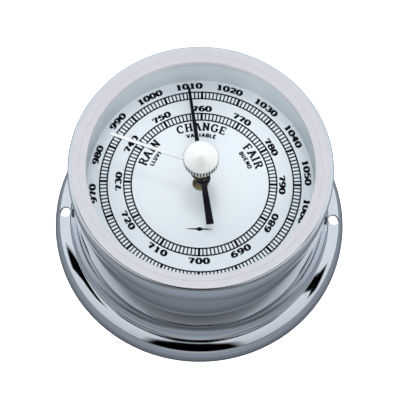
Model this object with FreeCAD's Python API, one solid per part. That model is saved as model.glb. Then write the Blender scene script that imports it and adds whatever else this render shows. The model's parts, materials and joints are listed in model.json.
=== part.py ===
import FreeCAD, Part
import math
import os

# Round marine barometer on a screw-down flange, lying on its back.
# Millimetres. z = 0 is the rim that rests on the wall, the case's axis is +Z, and 12 o'clock is +Y.

# ---- driving dimensions ----------------------------------------------------------------------------

# case: one spun brass sheet, wall and flange together
FLANGE_R = 47.5
SHEET = 1.2
WALL_R = 39.7
LIP_TOP = 49.7
COVE_R = 2.4
BAND_Z = 6.4
BAND_END_R = 45.6
BAND_END_Z = 5.75
SKIRT_FOOT = 0.8
SCREW_PITCH_R = 43.9
SCREW_HOLE_R = 1.75

# front: dial, spacer, glass and screw-in bezel
DIAL_Z = 34.8
DIAL_T = 0.6
DIAL_HOLE_R = 2.4
SIGHT_R = 35.0
GLASS_Z = 45.4
GLASS_T = 2.0
GLASS_HOLE_R = 2.1
GASKET_T = 0.4
BEZEL_IN_R = 34.15
BEZEL_IN_Z = 49.3
BEZEL_OUT_Z = 49.95

# back: cover plate that carries the movement
COVER_Z = 8.5
COVER_T = 1.2
BACK_SCREW_R = 36.4

# movement: its arbor stands a little to the right of the case's axis
MOVEMENT_X = 0.75
BASE_R = 30.5
BASE_T = 1.5
PILLAR_R = 2.25
PILLAR_PITCH_R = 23.0
PILLAR_ANGLES = (30, 150, 270)
LOWER_PLATE_Z = 24.0
LOWER_PLATE_T = 1.2
BRIDGE_Z = 31.0
BRIDGE_T = 1.0
BRIDGE_POST_Y = (9.5, -27.0)
CAPSULE_R = 17.0
CAPSULE_MID_Z = 15.0
CAPSULE_HALF = 2.8
DIAPHRAGM_T = 0.3

# linkage
BRACKET_HALF = 8.0
BRACKET_DEPTH = 5.0
BRACKET_SCREW_X = 6.0
CLAMP_SCREW_X = 4.0
LEVER_PIVOT_Y = 24.0
SPRING_Z = 19.0
SPRING_T = 0.8
LEVER_T = 0.8
LINK_X = 0.75
LINK_Y = -15.0
LINK_T = 0.6
ROCKER_Y = -18.0
ROCKER_Z = 22.8
ROCKER_HALF = 8.6
EAR_X = 9.0
TAIL_X = 3.5
SECTOR_Z = 28.0
SECTOR_T = 0.8

# gear pair
MODULE = 0.4
PINION_TEETH = 10
SECTOR_TEETH = 80
BACKLASH = 0.12
GEAR_CENTRES = 18.0

# hairspring: a flat coil on the pointer's arbor
COIL_IN_R = 1.7
COIL_PITCH = 1.2
COIL_TURNS = 4
COIL_T = 0.2
COIL_Z = 29.4
COIL_H = 0.6
STUD_R = 0.7

# pointer and set hand
POINTER_ANGLE = 99.76
POINTER_Z = 38.9
POINTER_TIP_R = 31.1
POINTER_TAIL_R = 15.1
HAND_ANGLE = 161.3
HAND_Z = 49.45
HAND_TIP_R = 29.0
HAND_HALF = 0.52
KNOB_R = 5.4
KNOB_FACE_R = 5.05
KNOB_RIM_Z = 52.4
KNOB_TOP_Z = 55.4
KNOB_CONE = 0.9

# clearances and small screws
RUN = 0.05
M2_R = 1.0
M2_CLEAR_R = 1.1
M16_R = 0.8
PIVOT_R = 0.4
ARBOR_R = 0.75
SPINDLE_R = 1.5

# worked out from the above
WALL_IN_R = WALL_R - SHEET
COVER_TOP = COVER_Z + COVER_T
BASE_TOP = COVER_TOP + BASE_T
PLATE_TOP = LOWER_PLATE_Z + LOWER_PLATE_T
SPRING_TOP = SPRING_Z + SPRING_T
LEVER_TOP = SPRING_TOP + LEVER_T
GLASS_TOP = GLASS_Z + GLASS_T
SECTOR_Z0 = SECTOR_Z - SECTOR_T / 2
SECTOR_Z1 = SECTOR_Z + SECTOR_T / 2
COIL_END_R = COIL_IN_R + COIL_PITCH * COIL_TURNS
STUD_X = COIL_END_R + COIL_T + STUD_R
CLAMP_Y = LEVER_PIVOT_Y + BRACKET_DEPTH / 2

vec = FreeCAD.Vector


# ---- helpers ---------------------------------------------------------------------------------------

def polar(radius, degrees, cx=0.0, cy=0.0):
    a = math.radians(degrees)
    return cx + radius * math.cos(a), cy + radius * math.sin(a)


def cyl(r, z0, z1, x=0.0, y=0.0):
    return Part.makeCylinder(r, z1 - z0, vec(x, y, z0))


def cyl_x(r, x0, x1, y, z):
    return Part.makeCylinder(r, x1 - x0, vec(x0, y, z), vec(1, 0, 0))


def ring(r_in, r_out, z0, z1, x=0.0, y=0.0):
    return cyl(r_out, z0, z1, x, y).cut(cyl(r_in, z0, z1, x, y))


def block(x0, x1, y0, y1, z0, z1):
    return Part.makeBox(x1 - x0, y1 - y0, z1 - z0, vec(x0, y0, z0))


def fuse(first, *others):
    return first.multiFuse(list(others)).removeSplitter()


def cut(shape, *tools):
    for tool in tools:
        shape = shape.cut(tool)
    return shape


def prism(points, z0, z1):
    corners = [vec(x, y, z0) for x, y in points]
    face = Part.Face(Part.makePolygon(corners + corners[:1]))
    return face.extrude(vec(0, 0, z1 - z0))


def bar(p, q, width, z0, z1):
    """A round-ended bar between two points."""
    length = math.hypot(q[0] - p[0], q[1] - p[1])
    strip = block(0, length, -width / 2, width / 2, z0, z1)
    strip.rotate(vec(0, 0, 0), vec(0, 0, 1), math.degrees(math.atan2(q[1] - p[1], q[0] - p[0])))
    strip.translate(vec(p[0], p[1], 0))
    return fuse(strip, cyl(width / 2, z0, z1, *p), cyl(width / 2, z0, z1, *q))


def turned(*steps):
    """Solid of revolution. A step is (r, z), or (r, z, rm, zm) reached by an arc through (rm, zm)."""
    edges = []
    for start, step in zip(steps, steps[1:] + steps[:1]):
        a = vec(start[0], 0, start[1])
        b = vec(step[0], 0, step[1])
        if len(step) == 4:
            edges.append(Part.Arc(a, vec(step[2], 0, step[3]), b).toShape())
        else:
            edges.append(Part.LineSegment(a, b).toShape())
    return Part.Face(Part.Wire(edges)).revolve(vec(0, 0, 0), vec(0, 0, 1), 360)


def on_circle(cr, cz, radius, degrees):
    """Point (r, z) on a circle in the profile plane."""
    a = math.radians(degrees)
    return cr + radius * math.cos(a), cz + radius * math.sin(a)


def screw(x, y, seat_z, tip_z, shank_r, head_r, head_h):
    """Slotted cheese-head screw: the head stands on seat_z, away from the tip."""
    up = 1 if tip_z < seat_z else -1
    top = seat_z + up * head_h
    head = cyl(head_r, min(seat_z, top), max(seat_z, top), x, y)
    slot_z = top - up * head_h / 2
    slot = block(x - head_r, x + head_r, y - 0.2, y + 0.2, min(top, slot_z), max(top, slot_z))
    shank = cyl(shank_r, min(seat_z, tip_z), max(seat_z, tip_z), x, y)
    return fuse(head.cut(slot), shank)


def group(solids):
    return Part.makeCompound(solids)


def save(name, shape, in_movement=False):
    if in_movement:
        shape = shape.copy()
        shape.translate(vec(MOVEMENT_X, 0, 0))
    shape.exportStep(f"parts/{name}.step")


# ---- case and front --------------------------------------------------------------------------------

def case():
    """Spun sheet: straight wall, rounded lip, cove, domed band and a convex skirt down to the rim."""
    drop = BAND_END_Z - SKIRT_FOOT
    inset = FLANGE_R - BAND_END_R
    skirt = (inset ** 2 + drop ** 2) / (2 * inset)
    skirt_r = FLANGE_R - skirt
    end = math.degrees(math.asin(drop / skirt))
    cove_r = WALL_R + COVE_R
    cove_z = BAND_Z + COVE_R
    inner = COVE_R + SHEET
    crown_r = (cove_r + BAND_END_R) / 2
    crown_z = (BAND_Z + BAND_END_Z) / 2 + 0.2
    skirt_in = skirt - SHEET
    band_in = on_circle(skirt_r, SKIRT_FOOT, skirt_in, end)
    body = turned(
        (FLANGE_R, 0),
        (FLANGE_R, SKIRT_FOOT),
        (BAND_END_R, BAND_END_Z, *on_circle(skirt_r, SKIRT_FOOT, skirt, end / 2)),
        (cove_r, BAND_Z, crown_r, crown_z),
        (WALL_R, cove_z, *on_circle(cove_r, cove_z, COVE_R, 225)),
        (WALL_R, LIP_TOP - SHEET),
        (WALL_IN_R, LIP_TOP, *on_circle(WALL_IN_R, LIP_TOP - SHEET, SHEET, 45)),
        (WALL_IN_R, cove_z),
        (cove_r, cove_z - inner, *on_circle(cove_r, cove_z, inner, 225)),
        (*band_in, (cove_r + band_in[0]) / 2, (cove_z - inner + band_in[1]) / 2 + 0.1),
        (FLANGE_R - SHEET, SKIRT_FOOT, *on_circle(skirt_r, SKIRT_FOOT, skirt_in, end / 2)),
        (FLANGE_R - SHEET, 0),
    )
    holes = [cyl(SCREW_HOLE_R, 0, 2 * BAND_Z, side * SCREW_PITCH_R, 0) for side in (-1, 1)]
    return cut(body, *holes)


def bezel_ring():
    """Screw-in retaining ring, its face sloping gently in towards the glass."""
    edge = 0.2
    seat = GLASS_TOP + GASKET_T
    lip_r = BEZEL_IN_R + 1.0
    return turned(
        (BEZEL_IN_R, GLASS_TOP + RUN),
        (BEZEL_IN_R, BEZEL_IN_Z),
        (WALL_IN_R - edge, BEZEL_OUT_Z),
        (WALL_IN_R, BEZEL_OUT_Z - edge),
        (WALL_IN_R, seat),
        (lip_r, seat),
        (lip_r, GLASS_TOP + RUN),
    )


def spacer_ring():
    """Moulded ring that holds the glass off the dial; its bore is the wall seen around the dial."""
    web = 1.4
    flange = 1.6
    body = ring(SIGHT_R, WALL_IN_R - 0.2, DIAL_Z, GLASS_Z)
    groove = ring(SIGHT_R + web, WALL_IN_R, DIAL_Z + flange, GLASS_Z - flange)
    return body.cut(groove)


def front():
    save("case", case())
    save("bezel_ring", bezel_ring())
    gasket_in = BEZEL_IN_R + 1.1
    save("glass_gasket", ring(gasket_in, WALL_IN_R - 0.3, GLASS_TOP, GLASS_TOP + GASKET_T))
    save("glass", ring(GLASS_HOLE_R, WALL_IN_R - 0.2, GLASS_Z, GLASS_TOP))
    save("spacer_ring", spacer_ring())
    dial_under = DIAL_Z - DIAL_T
    save("dial_plate", ring(DIAL_HOLE_R, WALL_IN_R - 0.3, dial_under, DIAL_Z))
    save("dial_seat_ring", ring(SIGHT_R + 0.6, WALL_IN_R, dial_under - 2.2, dial_under))


# ---- back ------------------------------------------------------------------------------------------

def back():
    """Cover plate screwed to a ring soldered in the case; the movement is screwed to the cover."""
    ring_h = 3.5
    head_r = 1.9
    head_h = 1.0
    places = [polar(BACK_SCREW_R, a) for a in (90, 210, 330)]
    pillars = [polar(PILLAR_PITCH_R, a, MOVEMENT_X) for a in PILLAR_ANGLES]
    seat = ring(WALL_IN_R - 4.0, WALL_IN_R, COVER_TOP, COVER_TOP + ring_h)
    taps = [cyl(M2_R, COVER_TOP, COVER_TOP + 3.0, *p) for p in places]
    save("back_seat_ring", cut(seat, *taps))

    cover = cyl(WALL_IN_R - 0.3, COVER_Z, COVER_TOP)
    clears = [cyl(M2_CLEAR_R, COVER_Z, COVER_TOP, *p) for p in places + pillars]
    access = cyl(2.6, COVER_Z, COVER_TOP, MOVEMENT_X, 0)
    vents = [cyl(0.75, COVER_Z, COVER_TOP, *polar(12.0, a, MOVEMENT_X)) for a in (0, 120, 240)]
    save("back_cover", cut(cover, access, *clears, *vents))

    tip = COVER_TOP + 2.8
    fixings = [screw(*p, COVER_Z, tip, M2_R, head_r, head_h) for p in places]
    save("back_cover_screws", group(fixings))
    tip = BASE_TOP + 4.3
    fixings = [screw(*p, COVER_Z, tip, M2_R, head_r, head_h) for p in pillars]
    save("movement_screws", group(fixings))


# ---- movement frame --------------------------------------------------------------------------------

def movement_frame():
    places = [polar(PILLAR_PITCH_R, a) for a in PILLAR_ANGLES]
    feet = [(side * BRACKET_SCREW_X, CLAMP_Y) for side in (-1, 1)]
    bore_top = COVER_TOP + 0.9

    plate = cyl(BASE_R, COVER_TOP, BASE_TOP)
    clears = [cyl(M2_CLEAR_R, COVER_TOP, BASE_TOP, *p) for p in places]
    sinks = [cyl(1.8, COVER_TOP, bore_top, *p) for p in feet]
    shanks = [cyl(M2_R, COVER_TOP, BASE_TOP, *p) for p in feet]
    adjust = cyl(2.0, COVER_TOP, BASE_TOP)
    save("base_plate", cut(plate, adjust, *clears, *sinks, *shanks), True)

    tap = 5.0
    pillars = [
        cut(
            cyl(PILLAR_R, BASE_TOP, LOWER_PLATE_Z, *p),
            cyl(M2_R, BASE_TOP, BASE_TOP + tap, *p),
            cyl(M2_R, LOWER_PLATE_Z - tap, LOWER_PLATE_Z, *p),
        )
        for p in places
    ]
    save("pillars", group(pillars), True)
    tip = LOWER_PLATE_Z - 4.0
    fixings = [screw(*p, PLATE_TOP, tip, M2_R, 1.9, 1.0) for p in places]
    save("lower_plate_screws", group(fixings), True)
    save("lower_plate", lower_plate(places), True)

    spigot = 0.9
    posts = [
        cut(
            fuse(cyl(1.8, PLATE_TOP, BRIDGE_Z, 0, y), cyl(spigot, LOWER_PLATE_Z, PLATE_TOP, 0, y)),
            cyl(M16_R, BRIDGE_Z - 3.0, BRIDGE_Z, 0, y),
        )
        for y in BRIDGE_POST_Y
    ]
    save("bridge_posts", group(posts), True)
    top = BRIDGE_Z + BRIDGE_T
    fixings = [screw(0, y, top, BRIDGE_Z - 2.6, M16_R, 1.6, 0.9) for y in BRIDGE_POST_Y]
    save("bridge_screws", group(fixings), True)
    save("top_bridge", top_bridge(), True)
    spring_bracket(feet, bore_top)


def lower_plate(places):
    """Plate over the pillars, with two turned-down ears that carry the rocking shaft."""
    z0, z1 = LOWER_PLATE_Z, PLATE_TOP
    arms = [bar((0, 0), p, 7.0, z0, z1) for p in places[:2]]
    spine = bar((0, BRIDGE_POST_Y[0]), (0, BRIDGE_POST_Y[1]), 7.0, z0, z1)
    ear_out = EAR_X + SHEET
    ear_half = 2.0
    deck = block(-ear_out, ear_out, ROCKER_Y - 6.0, ROCKER_Y + 5.0, z0, z1)
    ears = []
    for x in (-ear_out, EAR_X):
        ears.append(block(x, x + SHEET, ROCKER_Y - ear_half, ROCKER_Y + ear_half, ROCKER_Z - 1.6, z0))
    body = fuse(spine, deck, *arms, *ears)
    pivots = [cyl(PIVOT_R + RUN, z0, z1), cyl(PIVOT_R + RUN, z0, z1, 0, ROCKER_Y)]
    clears = [cyl(M2_CLEAR_R, z0, z1, *p) for p in places]
    spigots = [cyl(0.9, z0, z1, 0, y) for y in BRIDGE_POST_Y]
    arm_slot = block(TAIL_X - 0.7, TAIL_X + 0.7, ROCKER_Y - 1.3, ROCKER_Y + 1.3, z0, z1)
    link_slot = block(LINK_X - 0.4, LINK_X + LINK_T + 0.4, LINK_Y - 1.4, LINK_Y + 1.4, z0, z1)
    ear_bore = cyl_x(0.9, -ear_out, ear_out, ROCKER_Y, ROCKER_Z)
    return cut(body, arm_slot, link_slot, ear_bore, *pivots, *clears, *spigots)


def top_bridge():
    """Bar that carries the upper pivots, with a lug for the hairspring's stud."""
    z0, z1 = BRIDGE_Z, BRIDGE_Z + BRIDGE_T
    spine = bar((0, BRIDGE_POST_Y[0]), (0, BRIDGE_POST_Y[1]), 6.0, z0, z1)
    lug = bar((0, 0), (STUD_X, 0), 3.0, z0, z1)
    holes = [
        cyl(ARBOR_R + RUN, z0, z1),
        cyl(PIVOT_R + RUN, z0, z1, 0, ROCKER_Y),
        *[cyl(M16_R, z0, z1, 0, y) for y in BRIDGE_POST_Y],
    ]
    return cut(fuse(spine, lug), *holes)


def spring_bracket(feet, bore_top):
    """Block at the edge of the base plate, with the clamp that holds the mainspring on it."""
    y0, y1 = LEVER_PIVOT_Y, LEVER_PIVOT_Y + BRACKET_DEPTH
    window = block(-3.5, 3.5, y0, y1, BASE_TOP + 1.8, SPRING_Z - 3.2)
    body = block(-BRACKET_HALF, BRACKET_HALF, y0, y1, BASE_TOP, SPRING_Z)
    foot_taps = [cyl(M2_R, BASE_TOP, BASE_TOP + 3.6, *p) for p in feet]
    holders = [(side * CLAMP_SCREW_X, CLAMP_Y) for side in (-1, 1)]
    top_taps = [cyl(M16_R, SPRING_Z - 2.4, SPRING_Z, *p) for p in holders]
    save("spring_bracket", cut(body, window, *foot_taps, *top_taps), True)
    fixings = [screw(*p, bore_top, BASE_TOP + 3.4, M2_R, 1.8, 0.8) for p in feet]
    save("bracket_screws", group(fixings), True)

    clamp_top = SPRING_TOP + 1.2
    clamp = block(-BRACKET_HALF, BRACKET_HALF, y0, y1, SPRING_TOP, clamp_top)
    clears = [cyl(M16_R, SPRING_TOP, clamp_top, *p) for p in holders]
    save("spring_clamp", cut(clamp, *clears), True)
    fixings = [screw(*p, clamp_top, SPRING_Z - 2.2, M16_R, 1.5, 0.8) for p in holders]
    save("clamp_screws", group(fixings), True)


# ---- capsule and linkage ---------------------------------------------------------------------------

def diaphragm():
    """Upper half of the capsule: a thin corrugated disc with a flat centre and a flat rim."""
    flat_r = 3.5
    wave_end = 15.0
    waves = 8
    swing = 0.35
    under = CAPSULE_MID_Z + CAPSULE_HALF - DIAPHRAGM_T
    step = (wave_end - flat_r) / waves

    def corrugations(z, outward):
        order = range(waves) if outward else reversed(range(waves))
        for k in order:
            middle = flat_r + (k + 0.5) * step
            end = flat_r + (k + 1 if outward else k) * step
            yield end, z, middle, z + (swing if k % 2 else -swing)

    top = under + DIAPHRAGM_T
    rim_top = CAPSULE_MID_Z + DIAPHRAGM_T
    return turned(
        (0, top),
        (flat_r, top),
        *corrugations(top, True),
        (wave_end + 0.6, rim_top),
        (CAPSULE_R, rim_top),
        (CAPSULE_R, CAPSULE_MID_Z),
        (wave_end + 0.3, CAPSULE_MID_Z),
        (wave_end, under),
        *corrugations(under, False),
        (0, under),
    )


def capsule():
    upper = diaphragm()
    save("capsule_upper", upper, True)
    save("capsule_lower", upper.mirror(vec(0, 0, CAPSULE_MID_Z), vec(0, 0, 1)), True)
    foot_top = CAPSULE_MID_Z - CAPSULE_HALF
    save("capsule_foot", cyl(3.4, BASE_TOP, foot_top), True)

    seat = CAPSULE_MID_Z + CAPSULE_HALF
    pin_z = SPRING_TOP + RUN + 0.5
    stem = fuse(cyl(3.0, seat, seat + 0.5), cyl(1.2, seat + 0.5, pin_z + 1.2))
    save("capsule_post", stem.cut(cyl_x(0.5, -1.2, 1.2, 0, pin_z)), True)
    save("knife_pin", cyl_x(0.5, -3.6, 3.6, 0, pin_z), True)

    shank = cyl(2.0 - RUN, COVER_Z + 0.2, BASE_TOP - RUN)
    slot = block(-2.0, 2.0, -0.3, 0.3, COVER_Z + 0.2, COVER_Z + 1.0)
    save("adjusting_screw", shank.cut(slot), True)


def lever():
    """Mainspring leaf over the capsule, with the stiff lever riveted to its free end."""
    end_y = -8.0
    rivet_y = -5.5
    rivet_r = 0.7
    root_half = 6.0
    end_half = 3.6
    clamped = block(-root_half, root_half, LEVER_PIVOT_Y, LEVER_PIVOT_Y + BRACKET_DEPTH, SPRING_Z, SPRING_TOP)
    corners = [(-root_half, LEVER_PIVOT_Y), (-end_half, end_y), (end_half, end_y), (root_half, LEVER_PIVOT_Y)]
    leaf = fuse(clamped, prism(corners, SPRING_Z, SPRING_TOP))
    holes = [cyl(M16_R, SPRING_Z, SPRING_TOP, side * CLAMP_SCREW_X, CLAMP_Y) for side in (-1, 1)]
    post_hole = cyl(1.7, SPRING_Z, SPRING_TOP)
    rivet_hole = cyl(rivet_r, SPRING_Z, LEVER_TOP, 0, rivet_y)
    save("mainspring", cut(leaf, post_hole, rivet_hole, *holes), True)

    strip = prism([(-2, -3), (-1.9, -16.5), (1.9, -16.5), (2, -3)], SPRING_TOP, LEVER_TOP)
    save("main_lever", strip.cut(rivet_hole), True)
    rivet_head = cyl(1.3, LEVER_TOP, LEVER_TOP + 0.5, 0, rivet_y)
    save("lever_rivet", fuse(cyl(rivet_r, SPRING_Z, LEVER_TOP, 0, rivet_y), rivet_head), True)

    eye_r = 0.52
    x0, x1 = LINK_X, LINK_X + LINK_T
    plate = block(x0, x1, LINK_Y - 0.6, LINK_Y + 0.6, LEVER_TOP, ROCKER_Z)
    eye = cyl_x(1.0, x0, x1, LINK_Y, ROCKER_Z)
    foot = block(x0, 1.8, LINK_Y - 0.8, LINK_Y + 0.8, LEVER_TOP, LEVER_TOP + 0.4)
    link = fuse(plate, eye, foot).cut(cyl_x(eye_r, x0, x1, LINK_Y, ROCKER_Z))
    save("link", link, True)


def rocker():
    """Rocking shaft with a short arm to the link and a ball-ended arm up into the sector's tail."""
    shaft = cyl_x(0.8, -ROCKER_HALF, ROCKER_HALF, ROCKER_Y, ROCKER_Z)
    arm = block(-0.6, 0.6, ROCKER_Y, LINK_Y + 0.4, ROCKER_Z - 0.4, ROCKER_Z + 0.4)
    pin = cyl_x(0.4, -0.6, 1.7, LINK_Y, ROCKER_Z)
    collar = cyl_x(1.15, TAIL_X - 0.7, TAIL_X + 0.7, ROCKER_Y, ROCKER_Z)
    stem = cyl(0.35, ROCKER_Z, SECTOR_Z, TAIL_X, ROCKER_Y)
    ball = Part.makeSphere(0.5, vec(TAIL_X, ROCKER_Y, SECTOR_Z))
    depth = 1.0
    bores = [
        cyl_x(PIVOT_R + RUN, -ROCKER_HALF, -ROCKER_HALF + depth, ROCKER_Y, ROCKER_Z),
        cyl_x(PIVOT_R + RUN, ROCKER_HALF - depth, ROCKER_HALF, ROCKER_Y, ROCKER_Z),
    ]
    save("rocking_shaft", cut(fuse(shaft, arm, pin, collar, stem, ball), *bores), True)

    outer = EAR_X + 2.2
    body = cyl_x(0.9, EAR_X, outer, ROCKER_Y, ROCKER_Z)
    tip = cyl_x(PIVOT_R, ROCKER_HALF - 0.8, EAR_X, ROCKER_Y, ROCKER_Z)
    slot = block(outer - 0.5, outer, ROCKER_Y - 1, ROCKER_Y + 1, ROCKER_Z - 0.2, ROCKER_Z + 0.2)
    right = fuse(body, tip).cut(slot)
    left = right.mirror(vec(0, 0, 0), vec(1, 0, 0))
    save("rocker_pivots", group([right, left]), True)


# ---- gears -----------------------------------------------------------------------------------------

def tooth(teeth, addendum, root_r, centre_deg):
    """Outline of one involute tooth, root to root, about the origin."""
    pitch_r = MODULE * teeth / 2
    base_r = pitch_r * math.cos(math.radians(20))
    half_at_pitch = (math.pi * MODULE / 2 - BACKLASH / 2) / 2 / pitch_r
    involute = math.tan(math.radians(20)) - math.radians(20)
    start_r = max(base_r, root_r)
    tip_r = pitch_r + addendum
    steps = 4
    flank = []
    for i in range(steps + 1):
        r = start_r + (tip_r - start_r) * i / steps
        roll = math.acos(min(1.0, base_r / r))
        half = half_at_pitch + involute - (math.tan(roll) - roll)
        flank.append((r, half))
    if base_r > root_r:
        flank.insert(0, (root_r, flank[0][1]))
    flank.insert(0, (root_r - 0.2, flank[0][1]))
    centre = math.radians(centre_deg)
    left = [(r * math.cos(centre - h), r * math.sin(centre - h)) for r, h in flank]
    right = [(r * math.cos(centre + h), r * math.sin(centre + h)) for r, h in reversed(flank)]
    return left + right


def gears():
    """Pinion on the pointer's arbor, and the toothed sector that drives it."""
    z0, z1 = SECTOR_Z - 1.0, SECTOR_Z + 1.0
    pinion_root = MODULE * PINION_TEETH / 2 - 1.35 * MODULE
    step = 360 / PINION_TEETH
    teeth = [
        prism(tooth(PINION_TEETH, 0.85 * MODULE, pinion_root, 270 + step * (k + 0.5)), z0, z1)
        for k in range(PINION_TEETH)
    ]
    body = fuse(cyl(pinion_root, z0, z1), *teeth)
    save("pinion", body.cut(cyl(ARBOR_R, z0, z1)), True)

    pitch_r = MODULE * SECTOR_TEETH / 2
    root_r = pitch_r - 1.3 * MODULE
    step = 360 / SECTOR_TEETH
    first, last = -4, 3
    low, high = 90 + (first - 0.45) * step, 90 + (last + 0.45) * step
    hub_r = 2.2
    web = prism([(0, 0), polar(root_r + 1, low), polar(root_r + 1, high)], SECTOR_Z0, SECTOR_Z1)
    web = web.common(cyl(root_r, SECTOR_Z0, SECTOR_Z1))
    inset = 6.0
    window = prism([(0, 0), polar(40, low + inset), polar(40, high - inset)], SECTOR_Z0, SECTOR_Z1)
    window = window.common(ring(hub_r + 2.5, root_r - 2.6, SECTOR_Z0, SECTOR_Z1))
    teeth = [
        prism(tooth(SECTOR_TEETH, 0.75 * MODULE, root_r, 90 + step * k), SECTOR_Z0, SECTOR_Z1)
        for k in range(first, last + 1)
    ]
    tail = block(0, 5.2, -1.5, 1.5, SECTOR_Z0, SECTOR_Z1)
    slot = block(2.6, 5.2, -0.5 - RUN, 0.5 + RUN, SECTOR_Z0, SECTOR_Z1)
    hub = cyl(hub_r, SECTOR_Z - 0.9, SECTOR_Z + 0.9)
    plate = fuse(web.cut(window), tail, hub, *teeth)
    gear = cut(plate, slot, cyl(0.9, SECTOR_Z - 1, SECTOR_Z + 1))
    gear.translate(vec(0, -GEAR_CENTRES, 0))
    save("sector_gear", gear, True)
    arbor = fuse(
        cyl(0.9, PLATE_TOP + RUN, BRIDGE_Z - RUN, 0, ROCKER_Y),
        cyl(PIVOT_R, LOWER_PLATE_Z + 0.2, BRIDGE_Z + 0.8, 0, ROCKER_Y),
    )
    save("sector_arbor", arbor, True)


# ---- hairspring ------------------------------------------------------------------------------------

def spiral_edges(offset):
    """Half-circle arcs, their centres taking turns, from the inner end out."""
    edges = []
    for k in range(2 * COIL_TURNS):
        r = COIL_IN_R + k * COIL_PITCH / 2 + offset
        cx = 0.0 if k % 2 == 0 else COIL_PITCH / 2
        side = 1 if k % 2 == 0 else -1
        a, m, b = vec(cx + side * r, 0, COIL_Z), vec(cx, side * r, COIL_Z), vec(cx - side * r, 0, COIL_Z)
        edges.append(Part.Arc(a, m, b).toShape())
    return edges


def hairspring():
    """Flat coil from the collet on the arbor out to a stud under the bridge."""
    inner = spiral_edges(0.0)
    outer = spiral_edges(COIL_T)
    start = vec(COIL_IN_R, 0, COIL_Z)
    end = vec(COIL_END_R, 0, COIL_Z)
    caps = [
        Part.LineSegment(start, start + vec(COIL_T, 0, 0)).toShape(),
        Part.LineSegment(end, end + vec(COIL_T, 0, 0)).toShape(),
    ]
    wire = Part.Wire(Part.__sortEdges__(inner + outer + caps))
    save("hairspring", Part.Face(wire).extrude(vec(0, 0, COIL_H)), True)
    save("hairspring_collet", ring(ARBOR_R, COIL_IN_R - 0.2, COIL_Z - 0.3, COIL_Z + 0.9), True)
    save("hairspring_stud", cyl(STUD_R, COIL_Z - 0.3, BRIDGE_Z, STUD_X, 0), True)


# ---- pointer and set hand --------------------------------------------------------------------------

def pointer():
    thick = 0.3
    hub_r = 2.3
    bush_r = 1.2
    top = POINTER_Z + 1.3
    arbor = fuse(cyl(ARBOR_R, PLATE_TOP + RUN, top), cyl(PIVOT_R, LOWER_PLATE_Z + 0.1, PLATE_TOP + RUN))
    save("pointer_arbor", arbor, True)
    save("pointer_bush", ring(ARBOR_R, bush_r, POINTER_Z - 1.2, top), True)

    point_r = POINTER_TIP_R - 0.7
    side = [(0, 0.68), (point_r, 0.32), (POINTER_TIP_R, 0), (point_r, -0.32), (0, -0.68)]
    blade = prism(side, POINTER_Z, POINTER_Z + thick)
    side = [(0, -0.8), (-POINTER_TAIL_R, -1.15), (-POINTER_TAIL_R, 1.15), (0, 0.8)]
    tail = prism(side, POINTER_Z, POINTER_Z + thick)
    hub = cyl(hub_r, POINTER_Z - 0.6, POINTER_Z + 0.9)
    hand = fuse(blade, tail, hub).cut(cyl(bush_r, POINTER_Z - 0.6, POINTER_Z + 0.9))
    hand.rotate(vec(0, 0, 0), vec(0, 0, 1), POINTER_ANGLE)
    save("pointer_hand", hand, True)


def set_hand():
    """Reference hand over the glass, turned by the knurled knob and held by a spring washer."""
    flange_top = GLASS_TOP + 0.6
    bush = fuse(
        cyl(SPINDLE_R + RUN + 0.5, GLASS_Z, GLASS_TOP),
        cyl(3.4, GLASS_TOP, flange_top),
    )
    save("glass_bush", bush.cut(cyl(SPINDLE_R + RUN, GLASS_Z, flange_top)))

    knob_foot = HAND_Z + 0.3
    nut_z = GLASS_Z - 1.8
    spindle = fuse(
        cyl(SPINDLE_R, nut_z - 0.4, KNOB_RIM_Z + 1.6),
        cyl(2.3, flange_top + RUN, HAND_Z),
    )
    save("set_spindle", spindle)
    washer_top = GLASS_Z - RUN
    save("spring_washer", ring(SPINDLE_R, 3.2, washer_top - 0.45, washer_top))
    flats = [polar(2.9, 60 * k) for k in range(6)]
    nut = prism(flats, nut_z, washer_top - 0.45)
    save("spindle_nut", nut.cut(cyl(SPINDLE_R, nut_z, GLASS_Z)))

    edge = 0.3
    knob = turned(
        (0, knob_foot),
        (2.6, knob_foot),
        (2.6, KNOB_RIM_Z),
        (KNOB_R - edge, KNOB_RIM_Z),
        (KNOB_R, KNOB_RIM_Z + edge),
        (KNOB_R, KNOB_TOP_Z - edge),
        (KNOB_FACE_R, KNOB_TOP_Z),
        (0, KNOB_TOP_Z + KNOB_CONE),
    )
    save("set_knob", knob.cut(cyl(SPINDLE_R, knob_foot, KNOB_RIM_Z + 1.6)))

    boss = cyl(2.6, HAND_Z, knob_foot)
    corner = 0.2
    side = [
        (0, HAND_HALF),
        (HAND_TIP_R - corner, HAND_HALF),
        (HAND_TIP_R, HAND_HALF - corner),
        (HAND_TIP_R, corner - HAND_HALF),
        (HAND_TIP_R - corner, -HAND_HALF),
        (0, -HAND_HALF),
    ]
    strip = prism(side, HAND_Z, knob_foot)
    hand = fuse(boss, strip).cut(cyl(SPINDLE_R, HAND_Z, knob_foot))
    hand.rotate(vec(0, 0, 0), vec(0, 0, 1), HAND_ANGLE)
    save("set_hand", hand)


front()
back()
movement_frame()
capsule()
lever()
rocker()
gears()
hairspring()
pointer()
set_hand()
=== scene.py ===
import json
import math

import bmesh
import bpy
from mathutils import Matrix, Vector


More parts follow.
